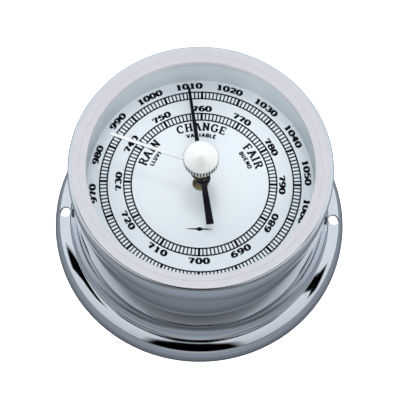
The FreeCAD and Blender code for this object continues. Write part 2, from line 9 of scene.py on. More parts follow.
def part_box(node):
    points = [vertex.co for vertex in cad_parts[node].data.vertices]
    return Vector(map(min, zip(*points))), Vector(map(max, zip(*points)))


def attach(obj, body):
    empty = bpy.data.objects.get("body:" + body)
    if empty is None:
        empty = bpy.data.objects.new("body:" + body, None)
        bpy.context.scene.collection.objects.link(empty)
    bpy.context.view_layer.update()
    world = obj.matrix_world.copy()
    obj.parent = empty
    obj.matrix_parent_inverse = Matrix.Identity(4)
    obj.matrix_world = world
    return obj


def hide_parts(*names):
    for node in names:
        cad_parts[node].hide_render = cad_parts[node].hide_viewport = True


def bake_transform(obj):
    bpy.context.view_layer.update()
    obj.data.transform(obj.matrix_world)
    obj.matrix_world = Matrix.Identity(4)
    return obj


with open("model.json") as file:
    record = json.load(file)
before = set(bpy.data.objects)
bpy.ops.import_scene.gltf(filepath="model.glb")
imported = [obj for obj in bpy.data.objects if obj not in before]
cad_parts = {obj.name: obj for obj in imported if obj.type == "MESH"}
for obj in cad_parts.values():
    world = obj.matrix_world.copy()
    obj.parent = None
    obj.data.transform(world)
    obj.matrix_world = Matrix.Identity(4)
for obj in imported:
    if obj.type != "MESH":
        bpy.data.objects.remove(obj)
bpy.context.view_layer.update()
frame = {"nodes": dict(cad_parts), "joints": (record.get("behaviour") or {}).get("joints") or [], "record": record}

# Lengths are in millimetres until a mesh is finished, which turns them into the frame's metres.
MM = 0.001
STEPS = 360
JOINTS = {joint["name"]: joint for joint in frame["joints"]}


def low(node):
    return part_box(node)[0] / MM


def high(node):
    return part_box(node)[1] / MM


# ---- sizes, from the frame and a few of the object's own dimensions --------------------------------

FLANGE_R = high("case").x
LIP_TOP = high("case").z
BEZEL_R = high("bezel_ring").x
BEZEL_TOP = high("bezel_ring").z
BEZEL_FOOT = low("bezel_ring").z
GLASS_LOW = low("glass").z
GLASS_TOP = high("glass").z
DIAL_TOP = high("dial_plate").z
DIAL_UNDER = low("dial_plate").z
KNOB_R = high("set_knob").x
KNOB_FOOT = low("set_knob").z
KNOB_APEX = high("set_knob").z
HAND_LOW = low("set_hand").z
HAND_TOP = high("set_hand").z
POINTER_LOW = low("pointer_hand").z
POINTER_TOP = high("pointer_hand").z
POINTER_X = JOINTS["pointer_turn"]["pos_m"][0] / MM

SHEET = 1.2
WALL_R = BEZEL_R + SHEET
COVE_R = 2.4
BAND_Z = 6.4
BAND_IN_R = 42.2
BEAD_R = 0.3
FILLET_SWEEP = 42
COLLAR_Z = 41.3
COLLAR_SWELL = 0.08
BAND_END = (45.6, 5.75)
SKIRT_FOOT = 0.8
SCREW_PITCH_R = 43.9
SCREW_HOLE_R = 1.75
SIGHT_R = 35.0
BEZEL_IN_R = 34.15
BEZEL_IN_Z = 49.3
GLASS_HOLE_R = 2.1
DIAL_HOLE_R = 2.4
KNOB_RIM_Z = 52.4
KNOB_FACE_R = 5.05
KNOB_NECK_R = 2.6
SPINDLE_R = 1.5
POINTER_ANGLE = math.radians(99.76)
HAND_ANGLE = math.radians(161.3)
PRINT_TURN = math.radians(0.57)
INK = 0.02


# ---- mesh helpers ----------------------------------------------------------------------------------

def finished(name, bm, sharp=32.0):
    """Turns a bmesh in millimetres into an object in metres, smooth but for edges sharper than sharp."""
    bmesh.ops.recalc_face_normals(bm, faces=bm.faces)
    bmesh.ops.scale(bm, vec=(MM, MM, MM), verts=bm.verts)
    mesh = bpy.data.meshes.new(name)
    bm.to_mesh(mesh)
    bm.free()
    mesh.shade_smooth()
    mesh.set_sharp_from_angle(angle=math.radians(sharp))
    obj = bpy.data.objects.new(name, mesh)
    bpy.context.scene.collection.objects.link(obj)
    return obj


def applied(obj):
    """The object's mesh with its modifiers made permanent."""
    depsgraph = bpy.context.evaluated_depsgraph_get()
    mesh = bpy.data.meshes.new_from_object(obj.evaluated_get(depsgraph))
    obj.modifiers.clear()
    obj.data = mesh
    return obj


def arc(centre, radius, start, end, count=12):
    """Points on a circle from angle start to angle end, in degrees, both ends included."""
    points = []
    for k in range(count + 1):
        a = math.radians(start + (end - start) * k / count)
        points.append((centre[0] + radius * math.cos(a), centre[1] + radius * math.sin(a)))
    return points


def bow(start, end, rise, count=10):
    """Points from start to end on a shallow arch that stands rise above the straight line at its middle."""
    points = []
    for k in range(count + 1):
        t = k / count
        lift = rise * 4 * t * (1 - t)
        points.append((start[0] + (end[0] - start[0]) * t, start[1] + (end[1] - start[1]) * t + lift))
    return points


def supported(profile, edge=0.06):
    """Adds a point close to each end of every long stretch, so that smooth shading stays flat along it."""
    points = []
    for k, (r0, z0) in enumerate(profile):
        r1, z1 = profile[(k + 1) % len(profile)]
        length = math.hypot(r1 - r0, z1 - z0)
        points.append((r0, z0))
        if length > 4 * edge:
            for t in (edge / length, 1 - edge / length):
                points.append((r0 + (r1 - r0) * t, z0 + (z1 - z0) * t))
    return points


def revolved(bm, profile, steps=STEPS, centre=(0.0, 0.0), knurl=None):
    """Sweeps a closed (r, z) profile round a vertical line. knurl(r, z, angle) may change the radius."""
    rings = []
    for r, z in supported(profile):
        if r < 1e-6:
            rings.append([bm.verts.new((centre[0], centre[1], z))] * steps)
            continue
        ring = []
        for k in range(steps):
            a = 2 * math.pi * k / steps
            radius = knurl(r, z, a) if knurl else r
            ring.append(bm.verts.new((centre[0] + radius * math.cos(a), centre[1] + radius * math.sin(a), z)))
        rings.append(ring)
    for lower, upper in zip(rings, rings[1:] + rings[:1]):
        for k in range(steps):
            n = (k + 1) % steps
            corners = list(dict.fromkeys((lower[k], lower[n], upper[n], upper[k])))
            if len(corners) > 2:
                bm.faces.new(corners)


def turned(name, profile, sharp=32.0, **options):
    bm = bmesh.new()
    revolved(bm, profile, **options)
    return finished(name, bm, sharp)


def slab(bm, outline, z0, z1):
    """A straight-sided plate from an outline of (x, y) points."""
    under = [bm.verts.new((x, y, z0)) for x, y in outline]
    over = [bm.verts.new((x, y, z1)) for x, y in outline]
    bm.faces.new(under[::-1])
    bm.faces.new(over)
    for k in range(len(outline)):
        n = (k + 1) % len(outline)
        bm.faces.new((under[k], under[n], over[n], over[k]))


def softened(obj, width, segments=2):
    """Rounds the sharp edges by width, in millimetres."""
    bevel = obj.modifiers.new("edges", "BEVEL")
    bevel.width = width * MM
    bevel.segments = segments
    bevel.limit_method = "ANGLE"
    bevel.angle_limit = math.radians(40)
    bevel.harden_normals = True
    return applied(obj)


def drilled(obj, holes, foot, top, steps):
    """Cuts upright holes, each a (radius, x, y), through obj from height foot to height top."""
    bm = bmesh.new()
    for radius, x, y in holes:
        revolved(bm, [(0, foot), (radius, foot), (radius, top), (0, top)], steps, (x, y))
    drill = finished("drill", bm)
    cut = obj.modifiers.new("holes", "BOOLEAN")
    cut.object = drill
    cut.solver = "EXACT"
    applied(obj)
    bpy.data.objects.remove(drill)


def turn(point, angle, centre=(0.0, 0.0)):
    c, s = math.cos(angle), math.sin(angle)
    return centre[0] + point[0] * c - point[1] * s, centre[1] + point[0] * s + point[1] * c


# ---- material helpers ------------------------------------------------------------------------------

class Paint:
    """A Principled material with helpers that add procedural detail in the object's own coordinates."""

    def __init__(self, name, colour, metallic, roughness, **inputs):
        self.mat = bpy.data.materials.new(name)
        self.mat.use_nodes = True
        self.nodes = self.mat.node_tree.nodes
        self.bsdf = self.nodes["Principled BSDF"]
        self.place = self.add("ShaderNodeTexCoord").outputs["Object"]
        self.bsdf.inputs["Base Color"].default_value = (*colour, 1)
        self.bsdf.inputs["Metallic"].default_value = metallic
        self.bsdf.inputs["Roughness"].default_value = roughness
        for key, value in inputs.items():
            self.bsdf.inputs[key.replace("_", " ")].default_value = value

    def add(self, kind, **settings):
        node = self.nodes.new(kind)
        for key, value in settings.items():
            setattr(node, key, value)
        return node

    def link(self, a, b):
        self.mat.node_tree.links.new(a, b)

    def noise(self, size, detail=4.0, stretch=(1, 1, 1)):
        """Noise with features of about size millimetres, drawn out along an axis where stretch is below 1."""
        scale = self.add("ShaderNodeMapping")
        scale.inputs["Scale"].default_value = stretch
        self.link(self.place, scale.inputs["Vector"])
        node = self.add("ShaderNodeTexNoise")
        node.inputs["Scale"].default_value = 1 / (size * MM)
        node.inputs["Detail"].default_value = detail
        self.link(scale.outputs["Vector"], node.inputs["Vector"])
        return node.outputs["Fac"]

    def rings(self, pitch, wobble=0.4, centre=(0.0, 0.0)):
        """Concentric tool marks about the vertical line through centre, pitch millimetres apart."""
        shift = self.add("ShaderNodeMapping")
        shift.inputs["Location"].default_value = (-centre[0] * MM, -centre[1] * MM, 0)
        self.link(self.place, shift.inputs["Vector"])
        wave = self.add("ShaderNodeTexWave", wave_type="RINGS", rings_direction="Z")
        wave.inputs["Scale"].default_value = math.pi / (10 * pitch * MM)
        wave.inputs["Distortion"].default_value = wobble
        wave.inputs["Detail"].default_value = 3
        self.link(shift.outputs["Vector"], wave.inputs["Vector"])
        return wave.outputs["Fac"]

    def spread(self, fac, lowest, highest, target):
        """Sends fac, mapped from 0.3..0.7 to lowest..highest, to one of the shader's inputs."""
        node = self.add("ShaderNodeMapRange")
        node.inputs["From Min"].default_value = 0.3
        node.inputs["From Max"].default_value = 0.7
        node.inputs["To Min"].default_value = lowest
        node.inputs["To Max"].default_value = highest
        self.link(fac, node.inputs["Value"])
        self.link(node.outputs["Result"], self.bsdf.inputs[target])

    def tint(self, fac, dark, light):
        """Base colour between two shades by fac."""
        ramp = self.add("ShaderNodeValToRGB")
        ramp.color_ramp.elements[0].position = 0.3
        ramp.color_ramp.elements[0].color = (*dark, 1)
        ramp.color_ramp.elements[1].position = 0.7
        ramp.color_ramp.elements[1].color = (*light, 1)
        self.link(fac, ramp.inputs["Fac"])
        self.link(ramp.outputs["Color"], self.bsdf.inputs["Base Color"])

    def relief(self, fac, depth, strength=1.0):
        """Bump of about depth millimetres."""
        bump = self.add("ShaderNodeBump")
        bump.inputs["Distance"].default_value = depth * MM
        bump.inputs["Strength"].default_value = strength
        self.link(fac, bump.inputs["Height"])
        before = self.bsdf.inputs["Normal"].links
        if before:
            self.link(before[0].from_socket, bump.inputs["Normal"])
        self.link(bump.outputs["Normal"], self.bsdf.inputs["Normal"])

    def grain_round(self, amount):
        """Stretched highlights of a surface turned on a lathe about the vertical axis."""
        tangent = self.add("ShaderNodeTangent", direction_type="RADIAL", axis="Z")
        self.bsdf.inputs["Anisotropic"].default_value = amount
        self.link(tangent.outputs["Tangent"], self.bsdf.inputs["Tangent"])


def chrome():
    paint = Paint("chrome", (0.70, 0.73, 0.77), 1.0, 0.03)
    paint.tint(paint.noise(9.0), (0.69, 0.72, 0.76), (0.71, 0.74, 0.78))
    paint.spread(paint.noise(2.5, 8), 0.015, 0.05, "Roughness")
    paint.relief(paint.noise(14.0, 1), 0.004)
    return paint.mat


def chrome_satin():
    paint = Paint("chrome_satin", (0.62, 0.605, 0.628), 0.25, 0.5)
    paint.tint(paint.noise(5.0), (0.61, 0.595, 0.63), (0.635, 0.62, 0.655))
    paint.spread(paint.noise(0.6, 8), 0.5, 0.6, "Roughness")
    paint.relief(paint.rings(0.11), 0.0008)
    paint.grain_round(0.35)
    return paint.mat


def nickel():
    paint = Paint("nickel", (1.0, 0.99, 0.965), 0.6, 0.3)
    paint.tint(paint.noise(1.5), (0.98, 0.97, 0.945), (1.0, 0.99, 0.965))
    paint.spread(paint.noise(0.35, 8), 0.27, 0.35, "Roughness")
    return paint.mat


def nickel_flat():
    """Nickel strip, bright on its flat top, with painted shade that makes its sheared edges dark."""
    paint = Paint("nickel_flat", (0.97, 0.97, 0.97), 0.45, 0.4)
    facing = paint.add("ShaderNodeNewGeometry")
    split = paint.add("ShaderNodeSeparateXYZ")
    paint.link(facing.outputs["Normal"], split.inputs[0])
    # Painted shade: the base colour goes dark where the surface turns from facing up to facing sideways.
    paint.tint(split.outputs["Z"], (0.05, 0.05, 0.055), (0.98, 0.98, 0.975))
    paint.spread(paint.noise(0.5, 6, (0.1, 1, 1)), 0.36, 0.46, "Roughness")
    paint.relief(paint.noise(0.12, 2, (0.05, 1, 1)), 0.001)
    return paint.mat


def nickel_knurled():
    """Nickel over knurling, with painted shade that makes it dark down in the grooves and leaves it bright on the
    crests.
    """
    paint = Paint("nickel_knurled", (0.5, 0.5, 0.5), 1.0, 0.3)
    flat = paint.add("ShaderNodeVectorMath", operation="MULTIPLY")
    flat.inputs[1].default_value = (1, 1, 0)
    paint.link(paint.place, flat.inputs[0])
    reach = paint.add("ShaderNodeVectorMath", operation="LENGTH")
    paint.link(flat.outputs["Vector"], reach.inputs[0])
    groove_shade_mask = paint.add("ShaderNodeMapRange")
    groove_shade_mask.inputs["From Min"].default_value = (KNOB_R - 0.3) * MM
    groove_shade_mask.inputs["From Max"].default_value = KNOB_R * MM
    paint.link(reach.outputs["Value"], groove_shade_mask.inputs["Value"])
    # Painted shade: the base colour goes near black towards the bottom of the grooves, by distance from the axis.
    paint.tint(groove_shade_mask.outputs["Result"], (0.04, 0.04, 0.045), (0.85, 0.85, 0.84))
    paint.spread(paint.noise(0.3, 6), 0.25, 0.4, "Roughness")
    paint.relief(paint.noise(0.1, 3), 0.001)
    return paint.mat


def clear_glass():
    """Flat pane: clear straight through, with a sheen that follows Schlick's curve, smudged a little."""
    paint = Paint("clear_glass", (1, 1, 1), 0.0, 0.02)
    clear = paint.add("ShaderNodeBsdfTransparent")
    clear.inputs["Color"].default_value = (0.985, 0.99, 0.99, 1)
    sheen = paint.add("ShaderNodeBsdfGlossy")
    smudge = paint.add("ShaderNodeMapRange")
    smudge.inputs["To Min"].default_value = 0.0
    smudge.inputs["To Max"].default_value = 0.06
    paint.link(paint.noise(6.0, 6), smudge.inputs["Value"])
    paint.link(smudge.outputs["Result"], sheen.inputs["Roughness"])
    facing = paint.add("ShaderNodeLayerWeight")
    power = paint.add("ShaderNodeMath", operation="POWER")
    power.inputs[1].default_value = 5
    scaled = paint.add("ShaderNodeMath", operation="MULTIPLY_ADD")
    scaled.inputs[1].default_value = 0.985
    scaled.inputs[2].default_value = 0.015
    paint.link(facing.outputs["Facing"], power.inputs[0])
    paint.link(power.outputs[0], scaled.inputs[0])
    mix = paint.add("ShaderNodeMixShader")
    paint.link(scaled.outputs[0], mix.inputs["Fac"])
    paint.link(clear.outputs[0], mix.inputs[1])
    paint.link(sheen.outputs[0], mix.inputs[2])
    paint.link(mix.outputs[0], paint.nodes["Material Output"].inputs["Surface"])
    paint.nodes.remove(paint.bsdf)
    return paint.mat


def white_lacquer():
    paint = Paint("white_lacquer", (0.90, 0.94, 0.98), 0.0, 0.35, Coat_Weight=0.1)
    paint.tint(paint.noise(18.0, 2), (0.89, 0.93, 0.975), (0.91, 0.95, 0.985))
    paint.spread(paint.noise(0.8, 6), 0.32, 0.42, "Roughness")
    paint.relief(paint.noise(0.25, 3), 0.001)
    return paint.mat


def pale_plastic():
    paint = Paint("pale_plastic", (0.62, 0.68, 0.73), 0.0, 0.5)
    paint.tint(paint.noise(4.0, 3), (0.61, 0.67, 0.72), (0.64, 0.70, 0.75))
    paint.spread(paint.noise(0.5, 6), 0.42, 0.55, "Roughness")
    paint.relief(paint.noise(0.2, 4), 0.004)
    return paint.mat


def black_rubber():
    paint = Paint("black_rubber", (0.03, 0.03, 0.03), 0.0, 0.75)
    paint.tint(paint.noise(1.5), (0.02, 0.02, 0.02), (0.05, 0.05, 0.05))
    paint.spread(paint.noise(0.4, 6), 0.65, 0.85, "Roughness")
    paint.relief(paint.noise(0.15, 5), 0.01)
    return paint.mat


def black_lacquer():
    paint = Paint("black_lacquer", (0.006, 0.006, 0.01), 0.0, 0.4, Specular_IOR_Level=0.12)
    paint.tint(paint.noise(0.8), (0.004, 0.004, 0.008), (0.009, 0.009, 0.014))
    paint.spread(paint.noise(0.3, 6), 0.36, 0.5, "Roughness")
    paint.relief(paint.noise(0.15, 3), 0.0015)
    return paint.mat


def zinc_plate():
    paint = Paint("zinc_plate", (0.62, 0.64, 0.66), 1.0, 0.35)
    paint.tint(paint.noise(3.0, 8), (0.54, 0.56, 0.585), (0.68, 0.70, 0.71))
    paint.spread(paint.noise(1.0, 8, (0.15, 1, 1)), 0.28, 0.5, "Roughness")
    paint.relief(paint.noise(0.3, 4, (0.08, 1, 1)), 0.004)
    return paint.mat


def brass():
    paint = Paint("brass", (0.80, 0.58, 0.26), 1.0, 0.3)
    paint.tint(paint.noise(2.0, 8), (0.70, 0.47, 0.18), (0.86, 0.66, 0.33))
    paint.spread(paint.noise(0.8, 8, (0.1, 1, 1)), 0.22, 0.42, "Roughness")
    paint.relief(paint.noise(0.2, 4, (0.06, 1, 1)), 0.003)
    return paint.mat


def steel():
    paint = Paint("steel", (0.56, 0.57, 0.59), 1.0, 0.25)
    paint.tint(paint.noise(1.2, 8), (0.48, 0.49, 0.51), (0.62, 0.63, 0.65))
    paint.spread(paint.noise(0.5, 8), 0.18, 0.36, "Roughness")
    paint.relief(paint.noise(0.15, 4, (1, 1, 0.1)), 0.002)
    return paint.mat


def spring_steel():
    paint = Paint("spring_steel", (0.20, 0.26, 0.42), 1.0, 0.28)
    paint.tint(paint.noise(3.0, 4), (0.12, 0.17, 0.36), (0.32, 0.30, 0.42))
    paint.spread(paint.noise(0.5, 6), 0.2, 0.36, "Roughness")
    paint.relief(paint.noise(0.2, 4, (1, 0.08, 1)), 0.002)
    return paint.mat


def blackened_steel():
    paint = Paint("blackened_steel", (0.02, 0.02, 0.022), 0.6, 0.5)
    paint.tint(paint.noise(0.8), (0.012, 0.012, 0.014), (0.03, 0.03, 0.033))
    paint.spread(paint.noise(0.3, 6), 0.42, 0.58, "Roughness")
    paint.relief(paint.noise(0.15, 3), 0.0015)
    return paint.mat


def nickel_silver():
    paint = Paint("nickel_silver", (0.70, 0.67, 0.60), 1.0, 0.3)
    paint.tint(paint.noise(2.0, 8), (0.62, 0.59, 0.52), (0.76, 0.73, 0.66))
    paint.spread(paint.noise(0.6, 8), 0.24, 0.4, "Roughness")
    paint.relief(paint.rings(0.15, centre=(POINTER_X, 0)), 0.002)
    return paint.mat


MAKERS = (chrome, chrome_satin, nickel, clear_glass, white_lacquer, pale_plastic, black_rubber, black_lacquer,
          zinc_plate, brass, steel, spring_steel, nickel_silver)
FINISH = {maker.__name__: maker() for maker in MAKERS}
HAND_FINISH = nickel_flat()
KNURL_FINISH = nickel_knurled()
NODE_FINISH = {"spring_washer": blackened_steel()}


def dressed(obj, slot, nodes, finish=None):
    """Gives obj its slot's material, or finish, and hides the CAD nodes it stands for."""
    obj.data.materials.clear()
    obj.data.materials.append(finish or FINISH[slot])
    if nodes:
        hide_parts(*nodes)


def piece(obj, body, slot, *nodes, finish=None):
    """A finished piece that moves with one body."""
    dressed(obj, slot, nodes, finish)
    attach(obj, body)


def bending(obj, slot, node):
    """A finished piece, baked in place, that takes its slot's material and hides its CAD node."""
    dressed(obj, slot, (node,))
    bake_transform(obj)


def repaint_nodes():
    """Every CAD node takes the detailed material of its own slot, or one of its own where it has one."""
    for part in frame["record"]["subparts"]:
        mesh = frame["nodes"][part["node"]].data
        mesh.materials.clear()
        mesh.materials.append(NODE_FINISH.get(part["node"], FINISH[part["material_slot"]]))


# ---- case, bezel and glass -------------------------------------------------------------------------

def case_profile():
    """Closed (r, z) outline of the spun sheet: rim, skirt, flat band with a bead, fillet, wall and lip."""
    inset = FLANGE_R - BAND_END[0]
    drop = BAND_END[1] - SKIRT_FOOT
    skirt = (inset ** 2 + drop ** 2) / (2 * inset)
    foot = (FLANGE_R - skirt, SKIRT_FOOT)
    end = math.degrees(math.asin(drop / skirt))
    bead = arc((BAND_IN_R, BAND_Z - BEAD_R), BEAD_R, 84, 135, 6)
    fillet_r = (bead[-1][0] - WALL_R) / (1 - math.cos(math.radians(FILLET_SWEEP)))
    fillet = (WALL_R + fillet_r, bead[-1][1] + fillet_r * math.sin(math.radians(FILLET_SWEEP)))
    cove = (WALL_R + COVE_R, BAND_Z + COVE_R)
    inner = arc(foot, skirt - SHEET, end, 0, 20)
    lip = (WALL_R - SHEET, LIP_TOP - SHEET)
    collar = LIP_TOP - SHEET - COLLAR_Z
    seam = [(WALL_R, COLLAR_Z - 0.2), (WALL_R - 0.1, COLLAR_Z - 0.1)]
    up = [k / 24 for k in range(24)]
    barrel = [(WALL_R + COLLAR_SWELL * 4 * t * (1 - t), COLLAR_Z + collar * t) for t in up]
    return [
        *arc(foot, skirt, 0, end, 40),
        *bow(BAND_END, bead[0], 0.08, 24)[1:-1],
        *bead,
        *arc(fillet, fillet_r, 180 + FILLET_SWEEP, 180, 40)[1:],
        *seam,
        *barrel,
        *arc(lip, SHEET, 0, 90, 16),
        *arc(cove, COVE_R + SHEET, 180, 270, 24),
        *bow((cove[0], BAND_Z - SHEET), inner[0], 0.1, 8)[1:-1],
        *inner,
        (FLANGE_R - SHEET, 0),
        (FLANGE_R, 0),
    ]


def case_shell():
    shell = turned("case_shell", case_profile(), 28.0, steps=720)
    drilled(shell, [(SCREW_HOLE_R, side * SCREW_PITCH_R, 0) for side in (-1, 1)], 0, 2 * BAND_Z, 96)
    shell.data.set_sharp_from_angle(angle=math.radians(28))
    piece(shell, "case", "chrome", "case")


def bezel():
    """Retaining ring: a sloping satin face with one fine turned groove, and rounded edges."""
    slope = (BEZEL_TOP - BEZEL_IN_Z) / (BEZEL_R - 0.2 - BEZEL_IN_R)
    groove_r = 36.2
    groove_z = BEZEL_IN_Z + slope * (groove_r - BEZEL_IN_R)
    half, depth = 0.26, 0.15
    lean = math.degrees(math.atan(slope))
    edge, rim = 0.18, 0.25
    edge_z = BEZEL_IN_Z + edge * (slope - math.hypot(1, slope))
    seat = GLASS_TOP + 0.4
    lip_r = BEZEL_IN_R + 1.0
    profile = [
        (BEZEL_IN_R, BEZEL_FOOT),
        *arc((BEZEL_IN_R + edge, edge_z), edge, 180, 90 + lean, 6),
        (groove_r - half, groove_z - slope * half),
        (groove_r, groove_z - depth),
        (groove_r + half, groove_z + slope * half),
        *arc((BEZEL_R - rim, BEZEL_TOP - rim), rim, 90 + lean, 0, 8),
        (BEZEL_R, seat),
        (lip_r, seat),
        (lip_r, BEZEL_FOOT),
    ]
    piece(turned("bezel", profile, 40.0), "case", "chrome_satin", "bezel_ring")


def glass():
    edge = 0.15
    outer = BEZEL_R - 0.2
    profile = [
        (GLASS_HOLE_R, GLASS_LOW + edge),
        (GLASS_HOLE_R + edge, GLASS_LOW),
        (outer - edge, GLASS_LOW),
        (outer, GLASS_LOW + edge),
        (outer, GLASS_TOP - edge),
        (outer - edge, GLASS_TOP),
        (GLASS_HOLE_R + edge, GLASS_TOP),
        (GLASS_HOLE_R, GLASS_TOP - edge),
    ]
    piece(turned("front_glass", profile), "case", "clear_glass", "glass")


def spacer():
    """Moulded ring between dial and glass: its bore is the pale wall round the dial."""
    web, flange, edge = 1.4, 1.6, 0.12
    outer = BEZEL_R - 0.2
    profile = [
        (SIGHT_R + edge, DIAL_TOP),
        (outer, DIAL_TOP),
        (outer, DIAL_TOP + flange),
        (SIGHT_R + web, DIAL_TOP + flange),
        (SIGHT_R + web, GLASS_LOW - flange),
        (outer, GLASS_LOW - flange),
        (outer, GLASS_LOW),
        (SIGHT_R + edge, GLASS_LOW),
        (SIGHT_R, GLASS_LOW - edge),
        (SIGHT_R, DIAL_TOP + edge),
    ]
    piece(turned("spacer_wall", profile), "case", "pale_plastic", "spacer_ring")


def dial():
    edge = 0.1
    outer = BEZEL_R - 0.3
    profile = [
        (DIAL_HOLE_R, DIAL_UNDER),
        (outer, DIAL_UNDER),
        (outer, DIAL_TOP),
        (DIAL_HOLE_R + edge, DIAL_TOP),
        (DIAL_HOLE_R, DIAL_TOP - edge),
    ]
    piece(turned("dial", profile), "case", "white_lacquer", "dial_plate")


# ---- printing on the dial --------------------------------------------------------------------------

def stroke(kind, *values):
    """Points of one pen stroke on a letter's unit square: a line, or part of an ellipse."""
    if kind == "line":
        return [(values[k], values[k + 1]) for k in range(0, len(values), 2)]
    cx, cy, rx, ry, start, end = values
    count = max(4, int(abs(end - start) / 12))
    points = []
    for k in range(count + 1):
        a = math.radians(start + (end - start) * k / count)
        points.append((cx + rx * math.cos(a), cy + ry * math.sin(a)))
    return points


def slab_serif(x, y, half=0.19):
    return ("line", x - half, y, x + half, y)


# Each letter: its width, its pen strokes, and the serifs that the plain words leave out.
GLYPHS = {
    "0": (0.92, [("oval", 0.46, 0.5, 0.34, 0.45, 0, 360)], []),
    "1": (0.92, [("line", 0.48, 0.03, 0.48, 0.97), ("line", 0.2, 0.8, 0.34, 0.84, 0.48, 0.97)],
          [slab_serif(0.48, 0.05, 0.28)]),
    "2": (0.92, [("oval", 0.44, 0.68, 0.3, 0.27, 165, -40), ("line", 0.67, 0.51, 0.4, 0.28, 0.12, 0.07),
                 ("line", 0.1, 0.07, 0.82, 0.07)], [("line", 0.82, 0.05, 0.82, 0.26)]),
    "3": (0.92, [("oval", 0.44, 0.74, 0.27, 0.21, 160, -90), ("oval", 0.44, 0.28, 0.32, 0.24, 90, -165)], []),
    "4": (0.92, [("line", 0.6, 0.03, 0.6, 0.97), ("line", 0.56, 0.95, 0.08, 0.3),
                 ("line", 0.06, 0.29, 0.86, 0.29)],
          [slab_serif(0.6, 0.05, 0.22)]),
    "5": (0.92, [("line", 0.18, 0.92, 0.76, 0.92), ("line", 0.2, 0.92, 0.17, 0.5),
                 ("oval", 0.43, 0.33, 0.33, 0.27, 135, -155)], []),
    "6": (0.92, [("oval", 0.47, 0.31, 0.32, 0.26, 0, 360), ("oval", 0.62, 0.42, 0.48, 0.52, 70, 185)], []),
    "7": (0.92, [("line", 0.1, 0.91, 0.84, 0.91), ("line", 0.82, 0.9, 0.56, 0.5, 0.42, 0.03)],
          [("line", 0.11, 0.95, 0.11, 0.7)]),
    "8": (0.92, [("oval", 0.46, 0.75, 0.26, 0.2, 0, 360), ("oval", 0.46, 0.28, 0.33, 0.24, 0, 360)], []),
    "9": (0.92, [("oval", 0.45, 0.69, 0.32, 0.26, 0, 360), ("oval", 0.3, 0.58, 0.48, 0.52, 250, 365)], []),
    "A": (0.98, [("line", 0.5, 0.97, 0.15, 0.03), ("line", 0.5, 0.97, 0.85, 0.03),
                 ("line", 0.26, 0.33, 0.74, 0.33)],
          [slab_serif(0.15, 0.03), slab_serif(0.85, 0.03)]),
    "B": (0.85, [("line", 0.2, 0.03, 0.2, 0.97), ("line", 0.2, 0.95, 0.45, 0.95),
                 ("line", 0.2, 0.52, 0.45, 0.52), ("line", 0.2, 0.05, 0.45, 0.05),
                 ("oval", 0.45, 0.735, 0.24, 0.215, 90, -90),
                 ("oval", 0.45, 0.285, 0.28, 0.235, 90, -90)], []),
    "C": (0.95, [("oval", 0.5, 0.5, 0.38, 0.46, 48, 312)], [("line", 0.78, 0.97, 0.78, 0.66)]),
    "E": (0.88, [("line", 0.22, 0.03, 0.22, 0.97), ("line", 0.22, 0.95, 0.76, 0.95),
                 ("line", 0.22, 0.5, 0.62, 0.5), ("line", 0.22, 0.05, 0.78, 0.05)],
          [slab_serif(0.2, 0.95, 0.14), slab_serif(0.2, 0.05, 0.14), ("line", 0.76, 0.97, 0.76, 0.76),
           ("line", 0.78, 0.03, 0.78, 0.26), ("line", 0.62, 0.6, 0.62, 0.4)]),
    "F": (0.85, [("line", 0.22, 0.03, 0.22, 0.97), ("line", 0.22, 0.95, 0.76, 0.95),
                 ("line", 0.22, 0.5, 0.62, 0.5)],
          [slab_serif(0.2, 0.95, 0.14), slab_serif(0.24, 0.03), ("line", 0.76, 0.97, 0.76, 0.76),
           ("line", 0.62, 0.6, 0.62, 0.4)]),
    "G": (1.0, [("oval", 0.5, 0.5, 0.38, 0.46, 48, 310), ("line", 0.8, 0.42, 0.8, 0.1)],
          [("line", 0.78, 0.97, 0.78, 0.68), slab_serif(0.8, 0.42, 0.18)]),
    "H": (1.02, [("line", 0.22, 0.03, 0.22, 0.97), ("line", 0.8, 0.03, 0.8, 0.97),
                 ("line", 0.22, 0.5, 0.8, 0.5)],
          [slab_serif(x, y) for x in (0.22, 0.8) for y in (0.03, 0.97)]),
    "I": (0.5, [("line", 0.25, 0.03, 0.25, 0.97)], [slab_serif(0.25, 0.03), slab_serif(0.25, 0.97)]),
    "L": (0.72, [("line", 0.2, 0.03, 0.2, 0.97), ("line", 0.2, 0.07, 0.68, 0.07)], []),
    "N": (1.02, [("line", 0.24, 0.03, 0.24, 0.97), ("line", 0.8, 0.03, 0.8, 0.97),
                 ("line", 0.24, 0.95, 0.8, 0.05)],
          [slab_serif(0.24, 0.03), slab_serif(0.2, 0.97, 0.16), slab_serif(0.8, 0.97)]),
    "O": (0.95, [("oval", 0.47, 0.5, 0.36, 0.45, 0, 360)], []),
    "R": (0.95, [("line", 0.22, 0.03, 0.22, 0.97), ("line", 0.22, 0.95, 0.5, 0.95),
                 ("line", 0.22, 0.5, 0.5, 0.5),
                 ("oval", 0.5, 0.725, 0.24, 0.225, 90, -90), ("line", 0.52, 0.5, 0.78, 0.05)],
          [slab_serif(0.2, 0.95, 0.14), slab_serif(0.22, 0.03), slab_serif(0.84, 0.04, 0.12)]),
    "U": (0.9, [("line", 0.17, 0.97, 0.17, 0.4), ("oval", 0.44, 0.38, 0.27, 0.33, 180, 360),
                ("line", 0.71, 0.4, 0.71, 0.97)], []),
    "V": (0.92, [("line", 0.1, 0.97, 0.46, 0.05), ("line", 0.46, 0.05, 0.82, 0.97)], []),
}


